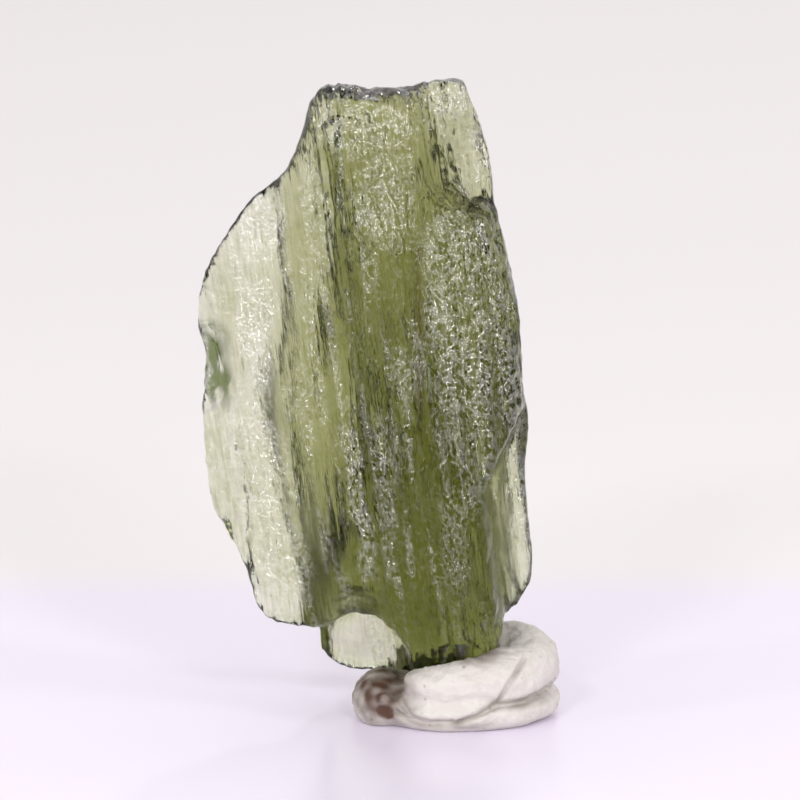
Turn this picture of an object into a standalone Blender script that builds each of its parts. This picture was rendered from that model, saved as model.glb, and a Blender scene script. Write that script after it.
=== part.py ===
"""A moldavite splinter standing in a lump of kneaded putty.

Moldavite is a natural green glass. This piece is a furrowed splinter: a thick core runs down
the middle, a thin wing stands out at the left, a thin flange at the lower right and a thin
window at the upper right. A hollow opens at the foot, in front of a thin lobe. The putty is
one soft lump, rolled round the foot of the stone and pressed flat on the surface below it.

Every size is in millimetres and becomes metres when a mesh is made. +Z is up, the face with
the core looks along -Y, and the origin is on the surface, under the middle of the object.
"""

import math

import bmesh
import bpy
import numpy as np
from mathutils import Matrix, Vector, noise

MM = 0.001

# The stone, seen from the front
SLANT = 0.13
OUTLINE = (
    # the broken top, from left to right
    (-2.75, 25.1), (-2.3, 25.5), (-1.25, 25.65), (-0.7, 25.45), (0.8, 25.5), (2.1, 25.75),
    (3.2, 25.8),
    # the right edge of the window and of the core
    (3.4, 25.2), (4.05, 23.7), (4.5, 21.9), (4.55, 20.9), (5.05, 18.5), (5.5, 16.1),
    (5.62, 13.5),
    # the flange
    (5.75, 12.7), (5.9, 11.2), (5.85, 9.6), (6.05, 7.4), (6.2, 6.1), (6.0, 5.0), (5.4, 4.4),
    # the foot inside the putty
    (4.9, 3.8), (4.5, 2.7), (3.4, 1.7), (2.0, 1.25),
    # the lobe behind the hollow
    (0.3, 1.3), (-1.2, 1.35), (-2.0, 1.65), (-2.55, 2.4), (-2.65, 3.45),
    # the foot and the left edge of the wing
    (-3.5, 3.75), (-4.35, 3.9), (-4.9, 4.4), (-5.25, 5.6), (-5.5, 6.5), (-6.25, 7.8),
    (-6.8, 9.1), (-7.05, 10.6), (-7.2, 12.3), (-7.1, 13.6), (-7.05, 14.9), (-7.35, 16.0),
    (-7.15, 17.5), (-6.9, 18.5), (-6.2, 19.7), (-5.4, 20.95), (-4.65, 21.6), (-3.9, 22.1),
    (-3.5, 22.9), (-3.1, 23.9),
)
OUTLINE_STEP = 0.25
EDGE_ROUND_THIN = 0.45
EDGE_ROUND_THICK = 1.1
EDGE_ROUND_TOP = 0.45
EDGE_LEAST = 0.22
TOP_EDGE_FROM = 23.8
TOP_EDGE_TO = 24.8

# Depths in front of the middle plane, each against height
CORE_FRONT = ((1, 1.9), (3, 2.5), (6, 3.0), (9, 3.2), (12, 3.0), (16, 2.5), (20, 2.2), (26, 1.2))
WING_FRONT = ((3, 1.25), (6, 1.05), (10, 0.7), (16, 0.45), (22, 0.4))
WINDOW_FRONT = 0.35
FLANGE_FRONT = -0.15
# Depths behind the middle plane, each against height
CORE_BACK = ((1, 1.9), (4, 2.6), (7, 3.1), (9, 3.3), (12, 3.0), (16, 2.4), (20, 2.0), (26, 1.2))
WING_BACK = ((3, -0.6), (6, -0.4), (10, 0.0), (16, 0.25), (22, 0.4))
RIGHT_BACK = 1.0
LOBE_THICK = 0.75

# Where the wing starts to thicken into the core, in front and behind, and where the back thins
# again at the right, over what widths, each against height
CORE_LEFT = ((1, -1.4), (5, -2.8), (9, -3.9), (13, -4.2), (18, -4.2), (22, -4.0), (26, -3.6))
CORE_LEFT_WIDTH = ((5, 3.8), (9, 4.8), (16, 4.6), (20, 3.4), (26, 2.2))
BACK_LEFT = ((1, -3.3), (5, -3.2), (8, -3.8), (12, -4.6), (18, -4.6), (22, -4.2), (26, -3.4))
BACK_LEFT_WIDTH = ((4.5, 1.1), (8, 4.5), (12, 6.0), (18, 5.0), (22, 3.0), (26, 2.0))
BACK_RIGHT = ((4, 2.3), (12, 2.6), (17, 3.0), (20, 2.4), (22, 1.4), (26, 1.0))
BACK_RIGHT_WIDTH = ((17, 3.2), (22, 2.0))
PANEL_FROM = 2.4
PANEL_TO = 6.2
PANEL_FALL = 0.5

# The sharp steps of the front
LEDGE = ((1.75, 21.9), (2.2, 21.6), (2.7, 21.4), (3.05, 20.95), (3.45, 20.7), (3.65, 20.95),
         (4.0, 21.0), (4.3, 20.7), (4.9, 20.4))
WINDOW_LEFT = ((20.5, 2.3), (22, 2.2), (24, 1.85), (26, 1.5))
STEP = ((12.9, 5.6), (12.3, 5.3), (11.8, 5.1), (11.1, 4.7), (10.4, 4.4), (9.9, 4.05), (9.4, 4.05),
        (7.4, 4.4), (5.2, 4.65), (3.9, 4.8), (2.0, 5.2))
WING_FOOT = ((-5.0, 3.0), (-3.0, 3.3), (-2.5, 3.6), (-1.6, 3.95))
FLANGE_TOP = 13.0
STEP_SOFT = 0.2
WINDOW_SOFT = 0.5

# The arch at the foot, in front of the lobe, and the hollow that runs up behind it
ARCH_CENTRE = (-0.7, 1.6)
ARCH_RADII = (1.85, 2.75)
ARCH_EDGE = (0.97, 1.06)
HOLLOW_CENTRE = (-0.75, 0.0, 3.0)
HOLLOW_RADII = (1.45, 1.3, 2.8)
HOLLOW_LEAN = math.radians(-12)

# Scooped scars: side (front -1, back 1), x, z, half width, half height, depth. A scar falls from
# its full depth to nothing between these shares of its half size.
SCOOP_EDGE = (0.55, 1.1)
SCOOPS = (
    (-1, 0.15, 21.0, 1.15, 2.1, 0.32),
    (-1, -4.4, 19.9, 1.3, 2.0, 0.22),
    (-1, -6.8, 14.4, 0.75, 1.6, 0.42),
    (-1, 3.55, 23.6, 0.55, 1.3, 0.18),
    (1, -1.4, 20.5, 1.6, 2.6, 0.25),
    (1, 2.6, 16.4, 1.3, 3.2, 0.25),
    (1, -0.6, 11.6, 1.2, 2.6, 0.22),
    (1, 3.2, 8.3, 1.1, 1.9, 0.28),
    (1, -4.9, 13.5, 1.1, 2.8, 0.15),
    (1, 0.7, 5.4, 1.2, 1.4, 0.2),
)

# Ribs that run with the flow of the glass: side, x at mid height, from z, to z, half width, height
MID_HEIGHT = 12.0
RIB_END = 1.5
RIBS = (
    (-1, -5.3, 5.0, 17.0, 0.45, 0.16),
    (-1, -4.1, 4.5, 18.5, 0.35, 0.2),
    (-1, -3.2, 4.6, 22.0, 0.3, 0.2),
    (-1, -2.3, 5.0, 23.5, 0.32, 0.24),
    (-1, -1.3, 5.5, 18.0, 0.4, 0.2),
    (-1, -0.3, 2.5, 21.0, 0.4, 0.28),
    (-1, 0.8, 3.0, 19.0, 0.45, 0.22),
    (-1, 1.45, 8.5, 24.5, 0.22, -0.3),
    (-1, 2.2, 3.0, 20.0, 0.4, 0.25),
    (-1, 3.2, 3.0, 17.5, 0.35, 0.22),
    (-1, 3.75, 9.0, 19.5, 0.18, -0.22),
    (-1, 4.35, 10.5, 20.0, 0.3, 0.22),
    (1, -5.6, 6.0, 18.0, 0.4, 0.14),
    (1, -3.9, 5.0, 20.0, 0.4, 0.2),
    (1, -2.6, 2.0, 23.5, 0.45, 0.3),
    (1, -1.2, 2.0, 16.5, 0.4, 0.26),
    (1, 0.3, 1.6, 24.5, 0.5, 0.32),
    (1, 1.5, 1.6, 20.0, 0.3, -0.28),
    (1, 2.5, 2.5, 23.0, 0.45, 0.3),
    (1, 3.9, 3.5, 20.0, 0.45, 0.26),
    (1, 5.1, 4.8, 15.0, 0.3, 0.16),
)
LUMP_HEIGHT = 0.16
LUMP_WIDTH = 1.1
LUMP_LENGTH = 3.6
WANDER = 0.45
WANDER_SIZE = 2.2
WANDER_STRETCH = 2.0
LAYER_APART = 3.1
HEIGHT_LAYER = 4.0

# The putty
GAP = 0.3
PAD_CENTRE = (3.1, 0.0, 0.6)
PAD_RADII = (4.15, 3.75, 1.2)
ROLL = (
    # x, y, z and radius along the roll, from its tip in front
    (1.0, -2.35, 1.75, 0.55), (1.7, -2.6, 1.8, 0.85), (3.1, -2.65, 1.75, 0.95),
    (4.7, -2.2, 1.85, 1.05), (6.0, -0.9, 2.0, 1.2), (6.0, 0.7, 2.2, 1.25), (4.9, 2.0, 2.35, 1.15),
    (3.1, 2.6, 2.1, 1.0), (1.3, 2.45, 1.6, 0.8), (0.3, 1.5, 1.2, 0.6),
)
SHOULDER_CENTRE = (0.1, -0.4, 0.65)
SHOULDER_RADII = (1.25, 2.3, 1.25)
NUB_CENTRE = (0.1, -2.7, 1.25)
NUB_RADIUS = 0.32
PIT_CENTRE = (0.15, -3.15, 0.75)
PIT_RADII = (0.3, 0.5, 0.3)
SOCKET_CENTRE = (3.0, -0.7, 2.9)
SOCKET_RADII = (2.0, 1.25, 1.1)
KNEAD_HEIGHT = 0.12
KNEAD_WIDTH = 1.3

STONE_VOXEL = 0.2
STONE_TRIANGLES = 7400
PUTTY_VOXEL = 0.17
PUTTY_TRIANGLES = 2200


def clear_scene():
    for obj in list(bpy.data.objects):
        bpy.data.objects.remove(obj)


def smoothstep(values, low, high):
    """0 below low, 1 above high, and an S-shaped rise between them."""
    t = ramp(values, low, high)
    return t * t * (3.0 - 2.0 * t)


def ramp(values, low, high):
    """0 below low, 1 above high, and an even rise between them."""
    return np.clip((values - low) / (high - low), 0.0, 1.0)


def along(points, values):
    """Reads a curve given as (position, value) pairs at other positions."""
    at, value = zip(*sorted(points))
    return np.interp(values, at, value)


def rounded_outline():
    """The outline as evenly spaced points on a smooth closed curve through its own points."""
    points = [Vector(p) for p in OUTLINE]
    count = len(points)
    curve = []
    for i, start in enumerate(points):
        before, end, after = points[i - 1], points[(i + 1) % count], points[(i + 2) % count]
        steps = max(1, round((end - start).length / OUTLINE_STEP))
        for k in range(steps):
            t = k / steps
            curve.append(
                0.5 * (2 * start + (end - before) * t
                       + (2 * before - 5 * start + 4 * end - after) * t**2
                       + (3 * start - before - 3 * end + after) * t**3)
            )
    return curve


def distance_inside(x, z, outline):
    """How far each point lies from the outline, in the plane of the front view."""
    nearest = np.full(len(x), 1e9)
    for a, b in zip(outline, outline[1:] + outline[:1]):
        run = b - a
        t = np.clip(((x - a.x) * run.x + (z - a.y) * run.y) / run.length_squared, 0.0, 1.0)
        nearest = np.minimum(nearest, np.hypot(x - a.x - t * run.x, z - a.y - t * run.y))
    return nearest


def wander(x, z, layer):
    """A smooth drift that keeps furrows and scars from being straight or round."""
    places = zip(x / WANDER_SIZE, z / (WANDER_STRETCH * WANDER_SIZE))
    return WANDER * np.array([noise.noise((u, v, layer * LAYER_APART)) for u, v in places])


def relief(side, x, z):
    """Ribs, furrows and scoops of one face, as a height above its plain form."""
    x = x + wander(x, z, side)
    z = z + WANDER_STRETCH * wander(x, z, side + HEIGHT_LAYER)
    flow = x + SLANT * (z - MID_HEIGHT)
    height = np.zeros(len(x))
    for rib_side, rib_x, low, high, half_width, rise in RIBS:
        if rib_side == side:
            across = np.exp(-(((flow - rib_x) / half_width) ** 2))
            ends = smoothstep(z, low, low + RIB_END) * (1 - smoothstep(z, high - RIB_END, high))
            height += rise * across * ends
    for scoop_side, scoop_x, scoop_z, half_width, half_height, depth in SCOOPS:
        if scoop_side == side:
            r = np.hypot((x - scoop_x) / half_width, (z - scoop_z) / half_height)
            height -= depth * (1 - smoothstep(r, *SCOOP_EDGE))
    return height


def lumps(side, x, z):
    """Low swellings, longer down the stone than across it."""
    places = zip(x / LUMP_WIDTH, z / LUMP_LENGTH)
    return LUMP_HEIGHT * np.array([noise.noise((u, side * LAYER_APART, v)) for u, v in places])


def front_depth(x, z):
    """How far the front face stands before the middle plane. The lobe follows the back face."""
    core = along(CORE_FRONT, z) - PANEL_FALL * smoothstep(x, PANEL_FROM, PANEL_TO)
    left = along(CORE_LEFT, z)
    share = ramp(x, left, left + along(CORE_LEFT_WIDTH, z))
    depth = along(WING_FRONT, z) * (1 - share) + core * share
    above_ledge = smoothstep(z - along(LEDGE, x), 0.0, STEP_SOFT)
    right_of_window = smoothstep(x - along(WINDOW_LEFT, z), -WINDOW_SOFT, WINDOW_SOFT)
    window = above_ledge * right_of_window
    depth = depth * (1 - window) + WINDOW_FRONT * window
    flange = smoothstep(x - along(STEP, z), 0.0, STEP_SOFT) * (z < FLANGE_TOP)
    depth = depth * (1 - flange) + FLANGE_FRONT * flange
    below_wing = smoothstep(along(WING_FOOT, x) - z, 0.0, STEP_SOFT) * (x < ARCH_CENTRE[0])
    up_arch = np.maximum(z - ARCH_CENTRE[1], 0.0) / ARCH_RADII[1]
    r = np.hypot((x - ARCH_CENTRE[0]) / ARCH_RADII[0], up_arch)
    lobe = np.maximum(below_wing, 1 - smoothstep(r, *ARCH_EDGE))
    return depth * (1 - lobe) + (LOBE_THICK - back_depth(x, z)) * lobe


def back_depth(x, z):
    """How far the back face stands behind the middle plane."""
    core = along(CORE_BACK, z)
    left = along(BACK_LEFT, z)
    share = ramp(x, left, left + along(BACK_LEFT_WIDTH, z))
    depth = along(WING_BACK, z) * (1 - share) + core * share
    right = along(BACK_RIGHT, z)
    fall = ramp(x, right, right + along(BACK_RIGHT_WIDTH, z))
    return depth * (1 - fall) + RIGHT_BACK * fall


def shape_stone(mesh):
    """Moves a flat slab's points to the front and back faces of the stone."""
    co = np.empty(len(mesh.vertices) * 3)
    mesh.vertices.foreach_get("co", co)
    co = co.reshape(-1, 3) / MM
    x, side, z = co[:, 0], np.clip(co[:, 1], -1.0, 1.0), co[:, 2]
    front = front_depth(x, z) + relief(-1, x, z) + lumps(-1, x, z)
    back = back_depth(x, z) + relief(1, x, z) + lumps(1, x, z)
    middle = (back - front) / 2
    half = np.maximum((back + front) / 2, EDGE_LEAST)
    edge_round = np.clip(half, EDGE_ROUND_THIN, EDGE_ROUND_THICK)
    top = smoothstep(z, TOP_EDGE_FROM, TOP_EDGE_TO)
    edge_round = edge_round * (1 - top) + EDGE_ROUND_TOP * top
    t = np.clip(distance_inside(x, z, rounded_outline()) / edge_round, 0.0, 1.0)
    rounded = EDGE_LEAST + (half - EDGE_LEAST) * np.sqrt(1 - (1 - t) ** 2)
    co[:, 1] = middle + side * rounded
    mesh.vertices.foreach_set("co", (co * MM).ravel())
    mesh.update()


def add_object(name, bm):
    mesh = bpy.data.meshes.new(name)
    bm.to_mesh(mesh)
    bm.free()
    obj = bpy.data.objects.new(name, mesh)
    bpy.context.scene.collection.objects.link(obj)
    return obj


def apply_modifiers(obj):
    """Replaces the object's mesh with what its modifiers make of it."""
    graph = bpy.context.evaluated_depsgraph_get()
    made = bpy.data.meshes.new_from_object(obj.evaluated_get(graph))
    obj.modifiers.clear()
    obj.data = made


def remesh(obj, voxel):
    modifier = obj.modifiers.new("Even mesh", "REMESH")
    modifier.mode = "VOXEL"
    modifier.voxel_size = voxel * MM
    apply_modifiers(obj)


def smooth(obj, times):
    modifier = obj.modifiers.new("Soften", "SMOOTH")
    modifier.factor = 0.5
    modifier.iterations = times
    apply_modifiers(obj)


def cut(obj, cutter):
    modifier = obj.modifiers.new("Cut", "BOOLEAN")
    modifier.operation = "DIFFERENCE"
    modifier.solver = "EXACT"
    modifier.object = cutter
    apply_modifiers(obj)
    bpy.data.objects.remove(cutter)


def decimate(obj, triangles):
    """Leaves about this many triangles, most of them where the surface bends."""
    obj.data.calc_loop_triangles()
    modifier = obj.modifiers.new("Fewer faces", "DECIMATE")
    modifier.ratio = min(1.0, triangles / len(obj.data.loop_triangles))
    modifier.use_collapse_triangulate = True
    apply_modifiers(obj)


def add_ellipsoid(bm, centre, radii, lean=0.0):
    place = Matrix.Translation(Vector(centre) * MM) @ Matrix.Rotation(lean, 4, "X")
    size = Matrix.Diagonal((*(r * MM for r in radii), 1.0))
    bmesh.ops.create_uvsphere(bm, u_segments=32, v_segments=20, radius=1.0, matrix=place @ size)


def make_stone():
    bm = bmesh.new()
    corners = [bm.verts.new((p.x * MM, -MM, p.y * MM)) for p in rounded_outline()]
    face = bm.faces.new(corners)
    thick = bmesh.ops.extrude_face_region(bm, geom=[face])["geom"]
    moved = [v for v in thick if isinstance(v, bmesh.types.BMVert)]
    bmesh.ops.translate(bm, verts=moved, vec=(0, 2 * MM, 0))
    bmesh.ops.recalc_face_normals(bm, faces=bm.faces)
    stone = add_object("moldavite", bm)
    remesh(stone, STONE_VOXEL)
    shape_stone(stone.data)
    hollow = bmesh.new()
    add_ellipsoid(hollow, HOLLOW_CENTRE, HOLLOW_RADII, HOLLOW_LEAN)
    cut(stone, add_object("hollow", hollow))
    remesh(stone, STONE_VOXEL)
    smooth(stone, 1)
    decimate(stone, STONE_TRIANGLES)
    return stone


def roll_tube():
    """The roll as a bevelled curve whose radius changes along it."""
    curve = bpy.data.curves.new("roll", "CURVE")
    curve.dimensions = "3D"
    curve.bevel_depth = MM
    curve.bevel_resolution = 6
    curve.use_fill_caps = True
    spline = curve.splines.new("NURBS")
    spline.points.add(len(ROLL) - 1)
    spline.order_u = 4
    spline.use_endpoint_u = True
    for point, (x, y, z, radius) in zip(spline.points, ROLL):
        point.co = (x * MM, y * MM, z * MM, 1.0)
        point.radius = radius
    obj = bpy.data.objects.new("roll", curve)
    bpy.context.scene.collection.objects.link(obj)
    graph = bpy.context.evaluated_depsgraph_get()
    mesh = bpy.data.meshes.new_from_object(obj.evaluated_get(graph))
    bpy.data.objects.remove(obj)
    return mesh


def knead(mesh):
    """Presses soft dents and swellings into the putty."""
    for vertex in mesh.vertices:
        place = vertex.co / (KNEAD_WIDTH * MM)
        vertex.co += vertex.normal * (KNEAD_HEIGHT * MM * noise.noise(place))
    mesh.update()


def stone_with_room(stone):
    """A copy of the stone that is larger by the gap all round, to cut its socket."""
    room = stone.copy()
    room.data = stone.data.copy()
    bpy.context.scene.collection.objects.link(room)
    for vertex in room.data.vertices:
        vertex.co += vertex.normal * (GAP * MM)
    remesh(room, PUTTY_VOXEL)
    return room


def make_putty(stone):
    bm = bmesh.new()
    add_ellipsoid(bm, PAD_CENTRE, PAD_RADII)
    add_ellipsoid(bm, SHOULDER_CENTRE, SHOULDER_RADII)
    add_ellipsoid(bm, NUB_CENTRE, (NUB_RADIUS,) * 3)
    bm.from_mesh(roll_tube())
    putty = add_object("putty", bm)
    remesh(putty, PUTTY_VOXEL)
    knead(putty.data)
    smooth(putty, 2)
    cutters = bmesh.new()
    add_ellipsoid(cutters, SOCKET_CENTRE, SOCKET_RADII)
    cut(putty, add_object("socket", cutters))
    cutters = bmesh.new()
    add_ellipsoid(cutters, PIT_CENTRE, PIT_RADII)
    cut(putty, add_object("pit", cutters))
    cut(putty, stone_with_room(stone))
    remesh(putty, PUTTY_VOXEL)
    decimate(putty, PUTTY_TRIANGLES)
    flatten_underside(putty)
    return putty


def flatten_underside(obj):
    """Cuts the object off flat at the surface that it rests on."""
    bm = bmesh.new()
    bm.from_mesh(obj.data)
    everything = [*bm.verts, *bm.edges, *bm.faces]
    bmesh.ops.bisect_plane(bm, geom=everything, plane_co=(0, 0, 0), plane_no=(0, 0, -1), clear_outer=True)
    rim = [e for e in bm.edges if e.is_boundary]
    bmesh.ops.holes_fill(bm, edges=rim)
    bm.to_mesh(obj.data)
    bm.free()


def finish(obj, name, colour, roughness, transmission=0.0):
    material = bpy.data.materials.new(name)
    material.use_nodes = True
    shader = material.node_tree.nodes["Principled BSDF"]
    shader.inputs["Base Color"].default_value = (*colour, 1.0)
    shader.inputs["Roughness"].default_value = roughness
    shader.inputs["Metallic"].default_value = 0.0
    shader.inputs["Transmission Weight"].default_value = transmission
    obj.data.materials.clear()
    obj.data.materials.append(material)


clear_scene()
stone = make_stone()
putty = make_putty(stone)
finish(stone, "moldavite glass", (0.24, 0.28, 0.09), 0.25, transmission=0.6)
finish(putty, "white putty", (0.74, 0.7, 0.6), 0.7)
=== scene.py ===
"""The finish of a moldavite splinter and its putty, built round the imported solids.

Run as a script it makes both pieces and a plain pale studio. Registered as an add-on, its
panel stands in the 3D view's sidebar.

Sizes and places in the tables are in millimetres where nothing else is said, with x to the
right, y to the back and z up. Blender's own are in metres.
"""

import math

import bmesh
import bpy
import numpy as np
from bpy.props import FloatProperty, FloatVectorProperty, PointerProperty
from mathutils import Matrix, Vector, noise
from mathutils.bvhtree import BVHTree


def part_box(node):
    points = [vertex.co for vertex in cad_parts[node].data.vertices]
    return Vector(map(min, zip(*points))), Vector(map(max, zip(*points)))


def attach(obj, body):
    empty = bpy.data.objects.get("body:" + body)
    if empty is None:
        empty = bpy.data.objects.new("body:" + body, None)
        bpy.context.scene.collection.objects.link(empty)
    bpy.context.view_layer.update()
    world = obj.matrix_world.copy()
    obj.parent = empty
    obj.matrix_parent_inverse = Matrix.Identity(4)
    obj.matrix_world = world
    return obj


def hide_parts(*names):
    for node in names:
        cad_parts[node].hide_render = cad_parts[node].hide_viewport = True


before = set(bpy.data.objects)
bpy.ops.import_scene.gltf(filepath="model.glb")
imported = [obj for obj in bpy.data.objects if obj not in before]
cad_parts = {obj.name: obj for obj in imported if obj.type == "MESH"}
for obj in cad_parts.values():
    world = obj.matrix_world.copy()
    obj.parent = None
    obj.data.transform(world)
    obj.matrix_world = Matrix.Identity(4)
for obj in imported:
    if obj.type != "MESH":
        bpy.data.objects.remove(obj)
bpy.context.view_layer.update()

bl_info = {
    "name": "Moldavite splinter",
    "version": (1, 0, 0),
    "blender": (4, 5, 0),
    "location": "3D View > Sidebar > Splinter",
    "description": "A furrowed splinter of natural green glass, standing in kneaded putty",
    "category": "Add Mesh",
}

MM = 0.001
BODY = "root"

# The fine meshes: in metres, how near two points are one, how many times the facets are
# softened, and the weight below which a point isn't softened further
SAME_POINT = 1e-7
FACET_SOFTENING = 6
LEAST_WEIGHT = 0.01

# How far one layer of noise lies from the next, along each axis
DRIFT_STEP = (17.1, 5.3, 9.7)
CELL_STEP = (11.9, 3.7, 7.1)

# The sockets of a Mix node that hold its share, its two colours and its blend
MIX_SHARE = 0
MIX_FIRST = 6
MIX_SECOND = 7
MIX_BLEND = 2


def linear(hex_colour):
    """An sRGB hex colour as the linear colour that shaders take."""
    values = [int(hex_colour[i : i + 2], 16) / 255 for i in (1, 3, 5)]
    return tuple(v / 12.92 if v <= 0.04045 else ((v + 0.055) / 1.055) ** 2.4 for v in values)


def smoothstep(values, low, high):
    """0 below the low value and 1 above the high one, with a soft step between them."""
    t = np.clip((values - low) / (high - low), 0.0, 1.0)
    return t * t * (3.0 - 2.0 * t)


# Meshes


def add_object(name, data):
    """Puts new data into the scene as an object."""
    obj = bpy.data.objects.new(name, data)
    bpy.context.scene.collection.objects.link(obj)
    return obj


def new_mesh(name, bm):
    """Makes a mesh of a bmesh, and frees the bmesh."""
    mesh = bpy.data.meshes.new(name)
    bm.to_mesh(mesh)
    bm.free()
    return mesh


def apply_modifiers(obj):
    """Replaces the object's mesh with what its modifiers make of it."""
    graph = bpy.context.evaluated_depsgraph_get()
    made = bpy.data.meshes.new_from_object(obj.evaluated_get(graph))
    obj.modifiers.clear()
    old = obj.data
    obj.data = made
    bpy.data.meshes.remove(old)


def soften(obj, times, group=""):
    """Adds a modifier that softens the mesh, or only the points of a vertex group."""
    soft = obj.modifiers.new("Soften", "SMOOTH")
    soft.factor = 0.5
    soft.iterations = times
    soft.vertex_group = group


def fine_copy(node, name, voxel):
    """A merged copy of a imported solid, on a fine even mesh with its facets softened."""
    bm = bmesh.new()
    bm.from_mesh(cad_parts[node].data)
    bmesh.ops.remove_doubles(bm, verts=bm.verts, dist=SAME_POINT)
    obj = add_object(name, new_mesh(name, bm))
    even = obj.modifiers.new("Even mesh", "REMESH")
    even.mode = "VOXEL"
    even.voxel_size = voxel
    even.use_smooth_shade = True
    soften(obj, FACET_SOFTENING)
    apply_modifiers(obj)
    return obj


def soften_where(obj, weights, times):
    """Softens the mesh where the weights say."""
    group = obj.vertex_groups.new(name="softer")
    for i in np.flatnonzero(weights > LEAST_WEIGHT):
        group.add([int(i)], float(weights[i]), "REPLACE")
    soften(obj, times, group.name)
    apply_modifiers(obj)
    obj.vertex_groups.clear()


def points_of(mesh):
    """The mesh's points in millimetres and its point normals."""
    co = np.empty(len(mesh.vertices) * 3)
    normals = np.empty(len(mesh.vertices) * 3)
    mesh.vertices.foreach_get("co", co)
    mesh.vertices.foreach_get("normal", normals)
    return co.reshape(-1, 3) / MM, normals.reshape(-1, 3)


def set_points(mesh, co, node):
    """Moves the mesh's points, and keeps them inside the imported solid's box."""
    low, high = (np.array(corner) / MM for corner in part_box(node))
    mesh.vertices.foreach_set("co", (np.clip(co, low, high) * MM).ravel())
    mesh.update()


def add_attribute(mesh, name, values):
    """Keeps a value for each point of the mesh, for its material to read."""
    layer = mesh.attributes.new(name, "FLOAT", "POINT")
    layer.data.foreach_set("value", values.astype(np.float32))


# Patterns, as a value for each point


def noise_places(co, size, layer, step):
    """Where to read noise of a size along each axis, in one of its layers."""
    offset = Vector([layer * side for side in step])
    return (Vector(p) + offset for p in co / np.array(size))


def drift(co, size, layer):
    """Smooth noise of about -1 to 1, where size is its width along each axis."""
    return np.array([noise.noise(p) for p in noise_places(co, size, layer, DRIFT_STEP)])


def cells(co, size, layer):
    """Distance from the middle of the nearest cell, 0 there and about 0.6 on the rims."""
    return np.array([noise.voronoi(p)[0][0] for p in noise_places(co, size, layer, CELL_STEP)])


def uneven(co, average, change, size, layer):
    """An average that drifts up and down from place to place."""
    return average + change * drift(co, size, layer)


def wander(co, flow, amount, size, layer):
    """The points moved to and fro, which gives what is drawn on them ragged rims."""
    return co + amount * drift(flow, size, layer)[:, None]


def near_line(co, line, half_width):
    """1 on a line of (x, z) points seen from the front, fading to 0 beside it."""
    p = co[:, (0, 2)]
    best = np.full(len(p), np.inf)
    for a, b in zip(np.array(line[:-1]), np.array(line[1:])):
        t = np.clip((p - a) @ (b - a) / ((b - a) @ (b - a)), 0.0, 1.0)
        best = np.minimum(best, np.linalg.norm(p - a - t[:, None] * (b - a), axis=1))
    return np.exp(-((best / half_width) ** 2))


def patch(co, x, z, half_width, half_height, soft=0.35):
    """1 inside an ellipse seen from the front, leaning with the flow, fading to 0 at its edge."""
    across = co[:, 0] - x + FLOW_SLANT * (co[:, 2] - z)
    r = np.hypot(across / half_width, (co[:, 2] - z) / half_height)
    return 1.0 - smoothstep(r, 1.0 - soft, 1.0 + soft)


# Materials


def new_material(name):
    """A material with an empty node tree."""
    material = bpy.data.materials.new(name)
    material.use_nodes = True
    material.node_tree.nodes.clear()
    return material


def add_node(tree, kind, inputs=(), **settings):
    """Adds a node with its settings, and gives each named input a value or a link."""
    node = tree.nodes.new(kind)
    for key, value in settings.items():
        setattr(node, key, value)
    for key, value in dict(inputs).items():
        if isinstance(value, bpy.types.NodeSocket):
            tree.links.new(value, node.inputs[key])
        else:
            node.inputs[key].default_value = value
    return node


# The stone

# The flow lines lean to the right on their way down, more so on the thin wing, which sets in
# between these distances to the left.
FLOW_SLANT = 0.13
WING_SLANT = 0.165
WING_PLACES = (2.0, 5.0)
MID_HEIGHT = 12.0

# Where the wing thickens into the core the faces are calmer, and the light comes through: the
# places across the flow lines where that sets in and where it ends
CALM_FROM = (-6.2, -5.0)
CALM_TO = (-1.6, -0.6)
# The thin flange is as calm: x, z, half width, half height
CALM_FLANGE = (5.5, 8.8, 0.9, 4.2)
# How many times the calm places are softened, and the share of the relief that they have
CALM_SOFTENING = 80
CALM_RELIEF = 0.4

# The back behind the calm places has an easier slope: places across the stone, how far each is
# moved back, and the heights where that starts, is full, starts to fade and ends
EASED_PLACES = (-5.4, -3.9, 0.5, 2.0)
EASED_SHIFTS = (0.0, 0.4, -0.4, 0.0)
EASED_HEIGHTS = (4.5, 7.0, 13.0, 16.0)

# How much of a normal points forwards or backwards, where its face starts to count as the front
# or the back and where it does in full
STONE_FACING = (0.15, 0.5)
EASED_FACING = (0.1, 0.4)

# Etched patches on the front: x, z, half width, half height, how frosted they are. They run with
# the flow lines, and their rims wander.
FROSTED = (
    # the scooped scar and the broken top
    (0.25, 21.2, 1.1, 1.9, 1.0),
    (-0.8, 24.4, 2.2, 1.3, 0.9),
    (2.6, 25.3, 1.4, 0.7, 1.0),
    (3.9, 23.4, 0.4, 1.5, 0.8),
    (-2.6, 21.6, 0.5, 1.6, 0.7),
    # the panel at the right
    (3.3, 19.2, 1.5, 1.8, 0.9),
    (3.2, 15.6, 1.2, 3.4, 1.0),
    (4.9, 15.0, 0.6, 3.6, 0.8),
    (3.6, 11.6, 0.9, 2.2, 0.6),
    # the wing
    (-4.7, 20.0, 1.0, 1.7, 0.8),
    (-5.0, 15.6, 0.7, 2.4, 0.9),
    (-4.8, 10.6, 0.9, 2.6, 1.0),
    (-3.9, 6.4, 1.0, 1.9, 0.8),
    # the flange and three bands on the core
    (5.6, 8.6, 0.5, 3.4, 0.7),
    (-0.9, 9.4, 0.35, 3.4, 0.9),
    (0.2, 10.4, 0.3, 2.4, 0.8),
    (2.9, 7.6, 0.5, 2.2, 0.4),
)

# How far the patches' rims wander, the size of the swings and their layer of noise
RIM_WANDER = (0.35, (0.5, 1.5, 1.4), 10)

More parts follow.
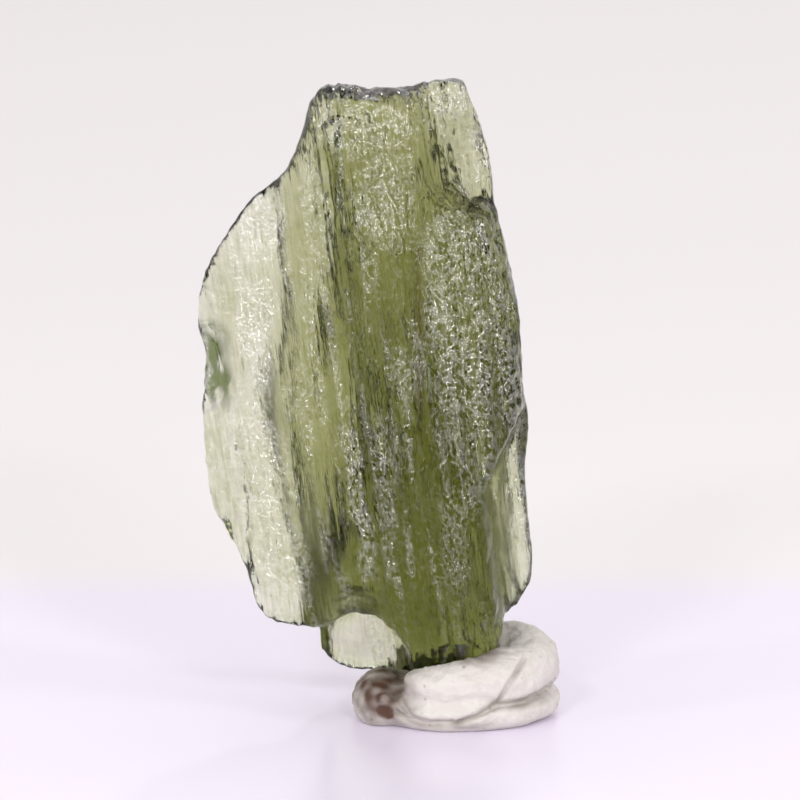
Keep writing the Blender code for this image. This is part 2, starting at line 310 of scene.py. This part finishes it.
# Etched strands down the whole front, and etched places on the back: how frosted they are, their
# size and layer of noise, and the values of the noise where they set in and are full
STRANDS = (0.55, (0.4, 1.6, 3.2), 11, 0.0, 0.4)
BACK_PLACES = (0.8, (2.6, 9.0, 5.0), 9, 0.05, 0.4)

# Places with a satin skin, where steep faces would else look black: x, z, half width, half height
SATIN = (
    (-2.4, 6.2, 1.0, 2.8),
    (-4.3, 12.8, 0.5, 2.2),
    (-0.5, 4.9, 1.2, 0.7),
    (4.7, 8.0, 0.5, 3.6),
)

# The rolled scoop at the left edge, with painted shade: dark green streaks painted into the glass's
# colour where its steep rolled sides look dark. Its x, z, half width, half height, then the size
# and layer of its streaks, and the noise where they set in and are full
PAINTED_SHADE_SCOOP = (-6.7, 14.3, 0.7, 1.8)
PAINTED_SHADE_STREAKS = ((0.3, 1.0, 0.7), 13, -0.45, 0.1)

# How soft the rims of the satin places and of the scoop's painted shade are
SKIN_RIM = 0.5

# The furrow that holds some brown earth, as (x, z) points, its half width, and its cover: the
# average, how far it changes, and the size and layer of the changes
EARTH_LINE = ((1.5, 19.5), (1.5, 17.0), (1.55, 14.0), (1.6, 12.0))
EARTH_HALF_WIDTH = 0.16
EARTH_COVER = (0.5, 0.5, (0.3, 0.3, 0.8), 12)

# Relief that runs with the flow lines: height, size and layer of noise
SWELLS = (0.11, (0.62, 1.5, 5.0), 1)
RIBS = (0.14, (0.42, 1.2, 4.2), 2)
RIPPLES = (0.07, (0.23, 0.9, 1.9), 3)
# How far the noise is from 0 where a rib is as high as the mean skin
RIB_MEAN = 0.35

# Finer relief: height on clear glass, what frost adds to it, size and layer
DIMPLES = (0.04, 0.06, (0.24, 0.6, 0.34), 5)
PITS = (0.06, 0.12, (0.34, 0.6, 0.55), 6)
# How far the dimples wander, the size of the swings and their layer
DIMPLE_WANDER = (0.25, (0.9, 2.0, 0.9), 4)
# Distances from a pit's middle, in pits: its flat rim, and where it is as high as the mean skin
PIT_RIM = 0.6
PIT_MEAN = 0.4

# Grooves on the front: depth, below zero for a bead, half width, then their (x, z) points
GROOVES = (
    (0.14, 0.12, ((1.6, 21.6), (1.5, 18.5), (1.55, 15.0), (1.7, 11.0))),
    (0.12, 0.10, ((3.95, 19.7), (4.3, 18.0), (4.48, 16.8))),
    (0.12, 0.10, ((4.6, 16.4), (4.75, 14.6), (4.9, 13.0))),
    (
        0.06,
        0.10,
        ((-6.0, 13.0), (-5.75, 12.0), (-5.85, 11.0), (-6.15, 10.2), (-6.0, 9.6), (-5.6, 9.2)),
    ),
    # the lip of the arch
    (
        0.08,
        0.12,
        ((-1.7, 4.9), (-1.2, 5.3), (-0.55, 5.3), (0.1, 5.1), (0.6, 4.7), (1.15, 4.1)),
    ),
    # the ledge under the window, and a bead of glass
    (
        0.12,
        0.09,
        ((1.9, 21.6), (2.7, 21.2), (3.05, 20.75), (3.4, 20.5), (3.7, 20.8), (4.1, 20.7)),
    ),
    (-0.12, 0.16, ((-2.4, 13.8), (-2.3, 13.6))),
    # the rims of the scoop at the left edge
    (
        0.2,
        0.14,
        ((-7.0, 15.9), (-6.35, 15.6), (-6.1, 14.8), (-6.1, 13.9), (-6.4, 13.1), (-6.9, 12.7)),
    ),
    (0.16, 0.14, ((-6.75, 15.2), (-6.6, 14.4), (-6.75, 13.5))),
)

# Patterns in the skin's shading: their size across, through and along the flow. The real etched
# skin is finer still, and this is as coarse as it needs to be to show.
SKIN_SIZES = {
    "streaks": (0.12, 0.6, 1.3),
    "pits": (0.12, 0.3, 0.15),
    "grain": (0.07, 0.07, 0.1),
    "glints": (0.1, 0.3, 0.14),
}
# Heights of their bumps. The glass itself takes the pits lower than its gloss does.
STREAK_HEIGHT = 0.04
PIT_HEIGHT = 0.06
LOW_PIT_HEIGHT = 0.04
GRAIN_HEIGHT = 0.01
# How strong they are on clear glass, and what frost adds
SKIN_STRENGTHS = {"pits": (0.6, 0.4), "low pits": (0.0, 0.6), "gloss": (0.1, 0.9)}


def flow_points(co):
    """The points with x straightened along the flow lines."""
    lean = WING_SLANT - FLOW_SLANT
    slant = FLOW_SLANT + lean * smoothstep(-co[:, 0], *WING_PLACES)
    flow = co.copy()
    flow[:, 0] += slant * (co[:, 2] - MID_HEIGHT)
    return flow


def calm_places(co, flow):
    """1 where the wing thickens into the core and on the flange, fading to 0 round them."""
    band = smoothstep(flow[:, 0], *CALM_FROM) * (1.0 - smoothstep(flow[:, 0], *CALM_TO))
    return np.maximum(band, patch(co, *CALM_FLANGE))


def ease_back(co, normals):
    """Eases the slope of the back behind the calm places, so that light comes through."""
    low, full, fading, high = EASED_HEIGHTS
    share = smoothstep(co[:, 2], low, full) * (1.0 - smoothstep(co[:, 2], fading, high))
    share *= smoothstep(normals[:, 1], *EASED_FACING)
    co[:, 1] += share * np.interp(co[:, 0], EASED_PLACES, EASED_SHIFTS)


def frost_of(flow, wandering, front, back):
    """How frosted the skin is, in patches and strands on the front and in places on the back."""
    frost = np.zeros(len(flow))
    for x, z, half_width, half_height, amount in FROSTED:
        near = patch(wandering, x, z, half_width, half_height)
        frost = np.maximum(frost, amount * front * near)
    for side, (amount, size, layer, low, high) in ((front, STRANDS), (back, BACK_PLACES)):
        near = smoothstep(drift(flow, size, layer), low, high)
        frost = np.maximum(frost, side * amount * near)
    return frost


def relief_of(flow, frost):
    """How far the skin rises in its swells, ribs, ripples, dimples and pits."""
    height, size, layer = SWELLS
    rise = height * drift(flow, size, layer)
    height, size, layer = RIBS
    rise += height * (RIB_MEAN - np.abs(drift(flow, size, layer)))
    height, size, layer = RIPPLES
    rise += height * drift(flow, size, layer)
    height, frosted, size, layer = DIMPLES
    rise += (height + frosted * frost) * drift(wander(flow, flow, *DIMPLE_WANDER), size, layer)
    height, frosted, size, layer = PITS
    away = np.minimum(cells(flow, size, layer), PIT_RIM)
    rise += (height + frosted * frost) * (away - PIT_MEAN)
    return rise


def mark_skin(mesh, co, flow, wandering, front):
    """Keeps where the skin is satin, where the scoop gets painted dark green shade, and where it is
    earthy, for its material.
    """
    satin = np.zeros(len(co))
    for place in SATIN:
        satin = np.maximum(satin, patch(wandering, *place, SKIN_RIM))
    add_attribute(mesh, "satin", satin)
    # Painted shade: dark green streaks in the rolled scoop at the left edge
    size, layer, low, high = PAINTED_SHADE_STREAKS
    dark = front * patch(wandering, *PAINTED_SHADE_SCOOP, SKIN_RIM)
    add_attribute(mesh, "dark", dark * smoothstep(drift(flow, size, layer), low, high))
    earth = front * near_line(co, EARTH_LINE, EARTH_HALF_WIDTH)
    add_attribute(mesh, "earth", earth * uneven(co, *EARTH_COVER))


def carve_stone(obj, looks):
    """Gives the stone its furrows, etched pits, grooves and ragged edge."""
    co, normals = points_of(obj.data)
    ease_back(co, normals)
    set_points(obj.data, co, "moldavite")
    soften_where(obj, calm_places(co, flow_points(co)), CALM_SOFTENING)

    co, normals = points_of(obj.data)
    flow = flow_points(co)
    front = smoothstep(-normals[:, 1], *STONE_FACING)
    back = smoothstep(normals[:, 1], *STONE_FACING)
    wandering = wander(co, flow, *RIM_WANDER)
    frost = frost_of(flow, wandering, front, back)
    rise = relief_of(flow, frost)
    rise *= looks.furrow_depth * (1.0 - (1.0 - CALM_RELIEF) * calm_places(co, flow))
    for depth, half_width, line in GROOVES:
        rise -= depth * front * near_line(co, line, half_width)
    set_points(obj.data, co + rise[:, None] * normals, "moldavite")
    add_attribute(obj.data, "frost", frost)
    mark_skin(obj.data, co, flow, wandering, front)


def glass_material(looks):
    """Moldavite, a natural glass: clear olive, darker with thickness, its etched skin glinting.

    The glass itself has no gloss. The gloss is its coat's: faint on the clean furrows, and
    bright in scattered cells of the frosted skin.
    """
    material = new_material("natural green glass")
    tree = material.node_tree
    place = add_node(tree, "ShaderNodeTexCoord").outputs["Object"]
    turn = (0.0, -math.atan(FLOW_SLANT), 0.0)
    along = {}
    for name, size in SKIN_SIZES.items():
        along[name] = add_node(
            tree,
            "ShaderNodeMapping",
            {"Vector": place, "Rotation": turn, "Scale": [side * MM for side in size]},
            vector_type="TEXTURE",
        ).outputs["Vector"]
    marks = {}
    for name in ("frost", "satin", "dark", "earth"):
        marks[name] = add_node(tree, "ShaderNodeAttribute", attribute_name=name).outputs["Fac"]
    strengths = {}
    for name, (clear, frosted) in SKIN_STRENGTHS.items():
        strengths[name] = add_node(
            tree,
            "ShaderNodeMath",
            {0: marks["frost"], 1: frosted, 2: clear},
            operation="MULTIPLY_ADD",
        ).outputs[0]

    streaks = add_node(
        tree,
        "ShaderNodeTexNoise",
        {"Vector": along["streaks"], "Scale": 1.0, "Detail": 3.0},
    ).outputs["Fac"]
    lines = add_node(
        tree,
        "ShaderNodeMapRange",
        {"Value": streaks, "From Min": 0.46, "From Max": 0.66, "To Max": 0.5},
    ).outputs["Result"]
    colour = (1.0, 1.0, 1.0, 1.0)
    # Tints on the clear glass: its flow lines, painted shade in the rolled scoop, and brown earth
    # in a furrow
    for share, tint in (
        (lines, looks.flow_lines),
        (marks["dark"], looks.painted_shade_scoop),
        (marks["earth"], looks.earth),
    ):
        colour = add_node(
            tree,
            "ShaderNodeMix",
            {MIX_SHARE: share, MIX_FIRST: colour, MIX_SECOND: (*tint, 1.0)},
            data_type="RGBA",
        ).outputs[MIX_BLEND]

    pits = add_node(
        tree, "ShaderNodeTexVoronoi", {"Vector": along["pits"], "Scale": 1.0}
    ).outputs["Distance"]
    grain = add_node(
        tree,
        "ShaderNodeTexNoise",
        {"Vector": along["grain"], "Scale": 1.0, "Detail": 2.0},
    ).outputs["Fac"]
    streak_bump = add_node(
        tree,
        "ShaderNodeBump",
        {"Height": streaks, "Strength": 1.0, "Distance": STREAK_HEIGHT * MM},
    ).outputs["Normal"]
    low_pit_bump = add_node(
        tree,
        "ShaderNodeBump",
        {
            "Height": pits,
            "Strength": strengths["low pits"],
            "Distance": LOW_PIT_HEIGHT * MM,
            "Normal": streak_bump,
        },
    ).outputs["Normal"]
    pit_bump = add_node(
        tree,
        "ShaderNodeBump",
        {
            "Height": pits,
            "Strength": strengths["pits"],
            "Distance": PIT_HEIGHT * MM,
            "Normal": streak_bump,
        },
    ).outputs["Normal"]
    grain_bump = add_node(
        tree,
        "ShaderNodeBump",
        {
            "Height": grain,
            "Strength": strengths["pits"],
            "Distance": GRAIN_HEIGHT * MM,
            "Normal": pit_bump,
        },
    ).outputs["Normal"]

    chance = add_node(
        tree, "ShaderNodeTexVoronoi", {"Vector": along["glints"], "Scale": 1.0}
    ).outputs["Color"]
    bright = add_node(
        tree, "ShaderNodeMapRange", {"Value": chance, "From Min": 0.3, "From Max": 0.45}
    ).outputs["Result"]
    gloss = add_node(
        tree, "ShaderNodeMath", {0: strengths["gloss"], 1: bright}, operation="MULTIPLY"
    ).outputs[0]
    rough = add_node(
        tree,
        "ShaderNodeMapRange",
        {
            "Value": marks["satin"],
            "To Min": looks.clear_roughness,
            "To Max": looks.satin_roughness,
        },
    ).outputs["Result"]
    shader = add_node(
        tree,
        "ShaderNodeBsdfPrincipled",
        {
            "Base Color": colour,
            "Roughness": rough,
            "IOR": looks.ior,
            "Specular Tint": (0.0, 0.0, 0.0, 1.0),
            "Transmission Weight": 1.0,
            "Normal": low_pit_bump,
            "Coat Weight": gloss,
            "Coat Roughness": 0.2,
            "Coat IOR": 2.4,
            "Coat Normal": grain_bump,
        },
    )
    absorption = add_node(
        tree,
        "ShaderNodeVolumeAbsorption",
        {"Color": (*looks.depth_colour, 1.0), "Density": looks.absorption / MM},
    )
    add_node(
        tree,
        "ShaderNodeOutputMaterial",
        {"Surface": shader.outputs["BSDF"], "Volume": absorption.outputs["Volume"]},
    )
    return material


# The putty

# Thumbed folds, lumps and crumbs: height, size and layer of noise
FOLDS = (
    (0.09, (0.9, 0.9, 0.6), 1),
    (0.05, (0.35, 0.35, 0.3), 2),
    (0.025, (0.16, 0.16, 0.16), 4),
)
# The heights between which the relief sets in, over the flat underside
FOLD_HEIGHTS = (0.05, 0.5)

# How much of a normal points forwards, where its face starts to count as the front and where it
# does in full
PUTTY_FACING = (0.0, 0.4)

# How near the stone the putty is drawn up to it, and the gap that is left
REACH = 0.45
GAP = 0.015

# Creases on the putty's front: depth, half width, then their (x, z) points
CREASES = (
    (
        0.30,
        0.12,
        (
            (0.6, 0.75),
            (1.0, 0.45),
            (1.6, 0.3),
            (2.7, 0.3),
            (3.4, 0.6),
            (4.6, 1.1),
            (5.9, 1.1),
            (6.9, 1.3),
        ),
    ),
    (0.20, 0.11, ((4.6, 1.1), (5.3, 2.1), (5.7, 2.7))),
    (0.20, 0.11, ((0.9, 1.0), (1.2, 0.62), (1.9, 0.5), (2.8, 0.5))),
)
# How much brown and painted shade a crease takes for each millimetre of its depth, so deeper
# creases are painted darker
CREASE_SHADE_AND_STAIN = 2.0

# Brown smears on the putty, partly real brown and partly painted shade: the dark hole, the shadow
# under the stone's lobe at the left, the hollow at the right and two creases. Their x, z, half
# width, half height, how strong they are
SHADE_AND_STAINS = (
    (0.15, 0.75, 0.4, 0.4, 1.6),
    (-0.2, 1.7, 1.3, 1.5, 1.1),
    (3.8, 3.0, 0.9, 0.3, 0.8),
    (3.0, 0.35, 1.4, 0.15, 0.5),
    (5.9, 0.95, 1.0, 0.15, 0.4),
)
# How soft their rims are, and their cover: the average, how far it changes, and the size and
# layer of the changes
SHADE_AND_STAIN_RIM = 0.6
SHADE_AND_STAIN_COVER = (0.75, 0.5, (0.5, 0.5, 0.4), 3)
# Between these places, front to back, the brown and the painted shade fade.
SHADE_AND_STAIN_FADE = (-1.0, 1.5)

# Patterns in the putty's colour and bump: the width of its clouds, its grain and its crumbs
CLOUD_SIZE = 1.2
GRAIN_SIZE = 0.15
CRUMB_SIZE = 0.6
GRAIN_BUMP = 0.05


def close_gap(co, stone):
    """Draws the points that nearly touch the stone up against it."""
    graph = bpy.context.evaluated_depsgraph_get()
    tree = BVHTree.FromObject(stone, graph)
    for i, point in enumerate(co):
        here = Vector(point) * MM
        near, normal, _, distance = tree.find_nearest(here, REACH * MM)
        if near is None:
            continue
        pull = 1.0 - (distance / MM / REACH) ** 4
        goal = near + normal * GAP * MM
        co[i] = np.array(here.lerp(goal, pull)) / MM


def shade_and_stain_of(co):
    """How brown and shaded the putty is: real brown smears, with painted shade in its hole, hollows
    and creases, unevenly and fading towards the back.
    """
    shade_and_stain = np.zeros(len(co))
    for x, z, half_width, half_height, amount in SHADE_AND_STAINS:
        near = patch(co, x, z, half_width, half_height, SHADE_AND_STAIN_RIM)
        shade_and_stain = np.maximum(shade_and_stain, amount * near)
    for depth, half_width, line in CREASES:
        shade_and_stain = np.maximum(shade_and_stain, CREASE_SHADE_AND_STAIN * depth * near_line(co, line, half_width))
    shade_and_stain *= uneven(co, *SHADE_AND_STAIN_COVER)
    return np.clip(shade_and_stain * (1.0 - smoothstep(co[:, 1], *SHADE_AND_STAIN_FADE)), 0.0, 1.0)


def carve_putty(obj, stone, looks):
    """Gives the putty its thumbed folds and creases, and presses it against the stone."""
    co, normals = points_of(obj.data)
    front = smoothstep(-normals[:, 1], *PUTTY_FACING)
    above = smoothstep(co[:, 2], *FOLD_HEIGHTS)
    rise = np.zeros(len(co))
    for height, size, layer in FOLDS:
        rise += height * drift(co, size, layer)
    rise *= looks.fold_depth
    for depth, half_width, line in CREASES:
        rise -= depth * front * near_line(co, line, half_width)
    co += (rise * above)[:, None] * normals
    close_gap(co, stone)
    set_points(obj.data, co, "putty")
    # Brown stain and painted shade, for the material to read
    add_attribute(obj.data, "shade_and_stain", shade_and_stain_of(co))


def putty_material(looks):
    """Grey-white mounting putty, pressed by hand: matt, with dust, brown smears, and painted shade
    in its folds and hollows.
    """
    material = new_material("mounting putty")
    tree = material.node_tree
    place = add_node(tree, "ShaderNodeTexCoord").outputs["Object"]
    shade_and_stain = add_node(tree, "ShaderNodeAttribute", attribute_name="shade_and_stain").outputs["Fac"]
    cloud = add_node(
        tree,
        "ShaderNodeTexNoise",
        {"Vector": place, "Scale": 1 / (CLOUD_SIZE * MM), "Detail": 4.0},
    ).outputs["Fac"]
    grain = add_node(
        tree,
        "ShaderNodeTexNoise",
        {"Vector": place, "Scale": 1 / (GRAIN_SIZE * MM), "Detail": 4.0},
    ).outputs["Fac"]
    crumbs = add_node(
        tree, "ShaderNodeTexVoronoi", {"Vector": place, "Scale": 1 / (CRUMB_SIZE * MM)}
    )
    speck = add_node(
        tree,
        "ShaderNodeMapRange",
        {
            "Value": crumbs.outputs["Distance"],
            "From Min": 0.16,
            "From Max": 0.06,
            "To Max": crumbs.outputs["Color"],
        },
    ).outputs["Result"]
    colour = (*looks.pale, 1.0)
    # The last tint is the brown stain, with painted shade in the hole, hollows and creases
    for share, tint in ((cloud, looks.warm), (speck, looks.speck), (shade_and_stain, looks.shade_and_stain)):
        colour = add_node(
            tree,
            "ShaderNodeMix",
            {MIX_SHARE: share, MIX_FIRST: colour, MIX_SECOND: (*tint, 1.0)},
            data_type="RGBA",
        ).outputs[MIX_BLEND]
    bump = add_node(
        tree,
        "ShaderNodeBump",
        {"Height": grain, "Strength": 0.8, "Distance": GRAIN_BUMP * MM},
    ).outputs["Normal"]
    shader = add_node(
        tree,
        "ShaderNodeBsdfPrincipled",
        {"Base Color": colour, "Roughness": 0.6, "Normal": bump},
    )
    add_node(tree, "ShaderNodeOutputMaterial", {"Surface": shader.outputs["BSDF"]})
    return material


# The studio

# The camera: its long lens, the place that it looks at, the width that it sees there, how far it
# looks down in degrees, and the nearest and furthest that it sees
LENS = 400.0
AIM = (0.76, 0.0, 12.88)
FRAME_WIDTH = 32.0
ELEVATION = 12.0
NEAREST = 10.0
FURTHEST = 10000.0

# Half the floor's side in metres, and where its lavender starts and ends to fade behind the stone
FLOOR_HALF = 2.0
FLOOR_NEAR = 19.0
FLOOR_FAR = 27.0

# The room is brightest up behind the stone. It brightens between these shares of that direction.
BRIGHT_SIDE = (0.0, 0.7, 0.7)
DIM_SHARE = -0.5
BRIGHT_SHARE = 0.5

# Soft lamps round the stone: name, azimuth and elevation in degrees, distance, width and height
LAMPS = (
    ("left side lamp", -62.0, 12.0, 220.0, (24.0, 36.0)),
    ("left lamp", -30.0, 4.0, 220.0, (24.0, 36.0)),
    ("left upper lamp", -20.0, 32.0, 220.0, (36.0, 24.0)),
    ("low lamp", 0.0, 3.0, 220.0, (36.0, 10.0)),
    ("right upper lamp", 20.0, 28.0, 220.0, (36.0, 24.0)),
    ("right lamp", 32.0, 5.0, 220.0, (24.0, 36.0)),
    ("right side lamp", 64.0, 14.0, 220.0, (24.0, 36.0)),
    ("back lamp", 170.0, 40.0, 260.0, (24.0, 24.0)),
)


def aim(obj, place, target):
    """Puts a lamp or camera at a place, looking at a target, both in metres."""
    obj.location = place
    obj.rotation_euler = (Vector(target) - Vector(place)).to_track_quat("-Z", "Y").to_euler()


def make_camera():
    """The photograph's view, from far off and looking down a little."""
    data = bpy.data.cameras.new("camera")
    data.lens = LENS
    data.clip_start = NEAREST * MM
    data.clip_end = FURTHEST * MM
    camera = add_object("camera", data)
    target = Vector(AIM) * MM
    distance = FRAME_WIDTH * MM * LENS / data.sensor_width
    elevation = math.radians(ELEVATION)
    back = Vector((0.0, -math.cos(elevation), math.sin(elevation)))
    aim(camera, target + back * distance, target)
    bpy.context.scene.camera = camera


def make_lamp(name, azimuth, elevation, distance, size, strength):
    """A soft lamp on a sphere round the stone. Its power follows from its size and brightness."""
    data = bpy.data.lights.new(name, "AREA")
    data.shape = "RECTANGLE"
    data.size, data.size_y = (side * MM for side in size)
    data.energy = strength * math.pi * data.size * data.size_y
    lamp = add_object(name, data)
    a, e = math.radians(azimuth), math.radians(elevation)
    back = Vector((math.sin(a) * math.cos(e), -math.cos(a) * math.cos(e), math.sin(e)))
    target = Vector(AIM) * MM
    aim(lamp, target + back * distance * MM, target)
    lamp.visible_camera = False


def floor_material(looks):
    """Pale acrylic sheet: lavender by the stone, warm white further off, with a soft gloss."""
    material = new_material("pale acrylic sheet")
    tree = material.node_tree
    place = add_node(tree, "ShaderNodeTexCoord").outputs["Object"]
    depth = add_node(tree, "ShaderNodeSeparateXYZ", {"Vector": place}).outputs["Y"]
    far = add_node(
        tree,
        "ShaderNodeMapRange",
        {"Value": depth, "From Min": FLOOR_NEAR * MM, "From Max": FLOOR_FAR * MM},
        interpolation_type="SMOOTHSTEP",
    ).outputs["Result"]
    colour = add_node(
        tree,
        "ShaderNodeMix",
        {MIX_SHARE: far, MIX_FIRST: (*looks.floor, 1.0), MIX_SECOND: (*looks.far_floor, 1.0)},
        data_type="RGBA",
    ).outputs[MIX_BLEND]
    shader = add_node(
        tree, "ShaderNodeBsdfPrincipled", {"Base Color": colour, "Roughness": 0.25}
    )
    add_node(tree, "ShaderNodeOutputMaterial", {"Surface": shader.outputs["BSDF"]})
    return material


def make_floor(looks):
    """A wide flat floor under the putty."""
    bm = bmesh.new()
    bmesh.ops.create_grid(bm, x_segments=1, y_segments=1, size=FLOOR_HALF)
    mesh = new_mesh("floor", bm)
    mesh.materials.append(floor_material(looks))
    floor = add_object("floor", mesh)


def make_world(looks):
    """A pale room, bright up behind the stone and dim on the camera's side."""
    world = bpy.data.worlds.new("pale room")
    world.use_nodes = True
    tree = world.node_tree
    tree.nodes.clear()
    direction = add_node(tree, "ShaderNodeTexCoord").outputs["Generated"]
    ahead = add_node(
        tree, "ShaderNodeVectorMath", {0: direction, 1: BRIGHT_SIDE}, operation="DOT_PRODUCT"
    ).outputs["Value"]
    strength = add_node(
        tree,
        "ShaderNodeMapRange",
        {
            "Value": ahead,
            "From Min": DIM_SHARE,
            "From Max": BRIGHT_SHARE,
            "To Min": looks.near_strength,
            "To Max": looks.room_strength,
        },
        interpolation_type="SMOOTHSTEP",
    ).outputs["Result"]
    background = add_node(
        tree, "ShaderNodeBackground", {"Color": (*looks.room, 1.0), "Strength": strength}
    )
    add_node(tree, "ShaderNodeOutputWorld", {"Surface": background.outputs["Background"]})
    bpy.context.scene.world = world


# The add-on


def colour_property(name, description, hex_colour):
    """A colour that a user can change, from its sRGB hex value."""
    return FloatVectorProperty(
        name=name,
        description=description,
        subtype="COLOR",
        size=3,
        min=0,
        max=1,
        default=linear(hex_colour),
    )


class StoneLooks(bpy.types.PropertyGroup):
    mesh_size: FloatProperty(
        name="Mesh size",
        description="Side of the fine mesh's squares",
        default=0.1 * MM,
        unit="LENGTH",
    )
    furrow_depth: FloatProperty(
        name="Furrow depth",
        description="Depth of the furrows and pits, as a share of the real ones",
        default=1.0,
    )
    depth_colour: colour_property(
        "Depth colour", "Colour of light that has crossed the glass", "#b2b800"
    )
    flow_lines: colour_property("Flow lines", "The fine flow lines in the skin", "#b9bd8e")
    # Painted shade: the dark green painted into the rolled scoop
    painted_shade_scoop: colour_property("Dark scoop", "The dark green of the rolled scoop", "#4a5a2c")
    earth: colour_property("Earth", "The brown earth in one furrow", "#8a5a34")
    absorption: FloatProperty(
        name="Absorption",
        description="How much of the darkest colour each millimetre takes",
        default=0.6,
    )
    ior: FloatProperty(
        name="IOR",
        description="Refractive index of tektite glass",
        default=1.49,
    )
    clear_roughness: FloatProperty(
        name="Clear roughness",
        description="Roughness of the clean furrows",
        subtype="FACTOR",
        default=0.12,
    )
    satin_roughness: FloatProperty(
        name="Satin roughness",
        description="Roughness of the satin places",
        subtype="FACTOR",
        default=0.5,
    )


class PuttyLooks(bpy.types.PropertyGroup):
    mesh_size: FloatProperty(
        name="Mesh size",
        description="Side of the fine mesh's squares",
        default=0.08 * MM,
        unit="LENGTH",
    )
    fold_depth: FloatProperty(
        name="Fold depth",
        description="Depth of the thumbed folds, as a share of the real ones",
        default=1.0,
    )
    pale: colour_property("Pale putty", "The putty's pale colour", "#cdc9c5")
    warm: colour_property("Warm putty", "The putty's warmer colour", "#b9b2aa")
    speck: colour_property("Speck", "The crumbs of earth in the putty", "#8f8478")
    # Brown stain and painted shade: the dark brown painted into the putty's hole, hollows and
    # creases
    shade_and_stain: colour_property("Stain", "The brown in the putty's hollows", "#4a3020")


class StudioLooks(bpy.types.PropertyGroup):
    floor: colour_property("Floor", "The floor near the stone", "#efe7fa")
    far_floor: colour_property("Far floor", "The floor behind the stone", "#f2edf1")
    room: colour_property("Room", "The pale room's colour", "#f0edeb")
    room_strength: FloatProperty(
        name="Room strength",
        description="The backdrop's brightness",
        default=0.97,
    )
    near_strength: FloatProperty(
        name="Near strength",
        description="The room's brightness on the camera's side",
        default=0.1,
    )
    lamp_strength: FloatProperty(
        name="Lamp strength",
        description="How many times a lamp's face is brighter than white",
        default=38.0,
    )


class SPLINTER_OT_stone(bpy.types.Operator):
    """Make the stone's glass surface over its solid"""

    bl_idname = "splinter.stone"
    bl_label = "Moldavite"

    def execute(self, context):
        looks = context.scene.stone_looks
        stone = fine_copy("moldavite", "moldavite_glass", looks.mesh_size)
        carve_stone(stone, looks)
        stone.data.materials.append(glass_material(looks))
        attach(stone, BODY)
        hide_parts("moldavite")
        return {"FINISHED"}


class SPLINTER_OT_putty(bpy.types.Operator):
    """Make the kneaded putty's surface over its solid, pressed against the stone"""

    bl_idname = "splinter.putty"
    bl_label = "Putty"

    def execute(self, context):
        looks = context.scene.putty_looks
        putty = fine_copy("putty", "putty_lump", looks.mesh_size)
        carve_putty(putty, bpy.data.objects["moldavite_glass"], looks)
        putty.data.materials.append(putty_material(looks))
        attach(putty, BODY)
        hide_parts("putty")
        return {"FINISHED"}


class SPLINTER_OT_studio(bpy.types.Operator):
    """Make the pale floor, the soft light and the camera"""

    bl_idname = "splinter.studio"
    bl_label = "Studio"

    def execute(self, context):
        looks = context.scene.studio_looks
        make_floor(looks)
        make_world(looks)
        for lamp in LAMPS:
            make_lamp(*lamp, looks.lamp_strength)
        make_camera()
        context.scene.view_settings.view_transform = "Standard"
        return {"FINISHED"}


class VIEW3D_PT_splinter(bpy.types.Panel):
    bl_label = "Splinter"
    bl_space_type = "VIEW_3D"
    bl_region_type = "UI"
    bl_category = "Splinter"

    def draw(self, context):
        for operator, group in (
            (SPLINTER_OT_stone, context.scene.stone_looks),
            (SPLINTER_OT_putty, context.scene.putty_looks),
            (SPLINTER_OT_studio, context.scene.studio_looks),
        ):
            box = self.layout.box()
            box.operator(operator.bl_idname)
            for name in group.__annotations__:
                box.prop(group, name)


CLASSES = (
    StoneLooks,
    PuttyLooks,
    StudioLooks,
    SPLINTER_OT_stone,
    SPLINTER_OT_putty,
    SPLINTER_OT_studio,
    VIEW3D_PT_splinter,
)


def register():
    for cls in CLASSES:
        bpy.utils.register_class(cls)
    bpy.types.Scene.stone_looks = PointerProperty(type=StoneLooks)
    bpy.types.Scene.putty_looks = PointerProperty(type=PuttyLooks)
    bpy.types.Scene.studio_looks = PointerProperty(type=StudioLooks)


def unregister():
    del bpy.types.Scene.studio_looks
    del bpy.types.Scene.putty_looks
    del bpy.types.Scene.stone_looks
    for cls in reversed(CLASSES):
        bpy.utils.unregister_class(cls)


def main():
    """Makes every piece and the studio."""
    register()
    bpy.ops.splinter.stone()
    bpy.ops.splinter.putty()
    bpy.ops.splinter.studio()


if __name__ == "__main__":
    main()
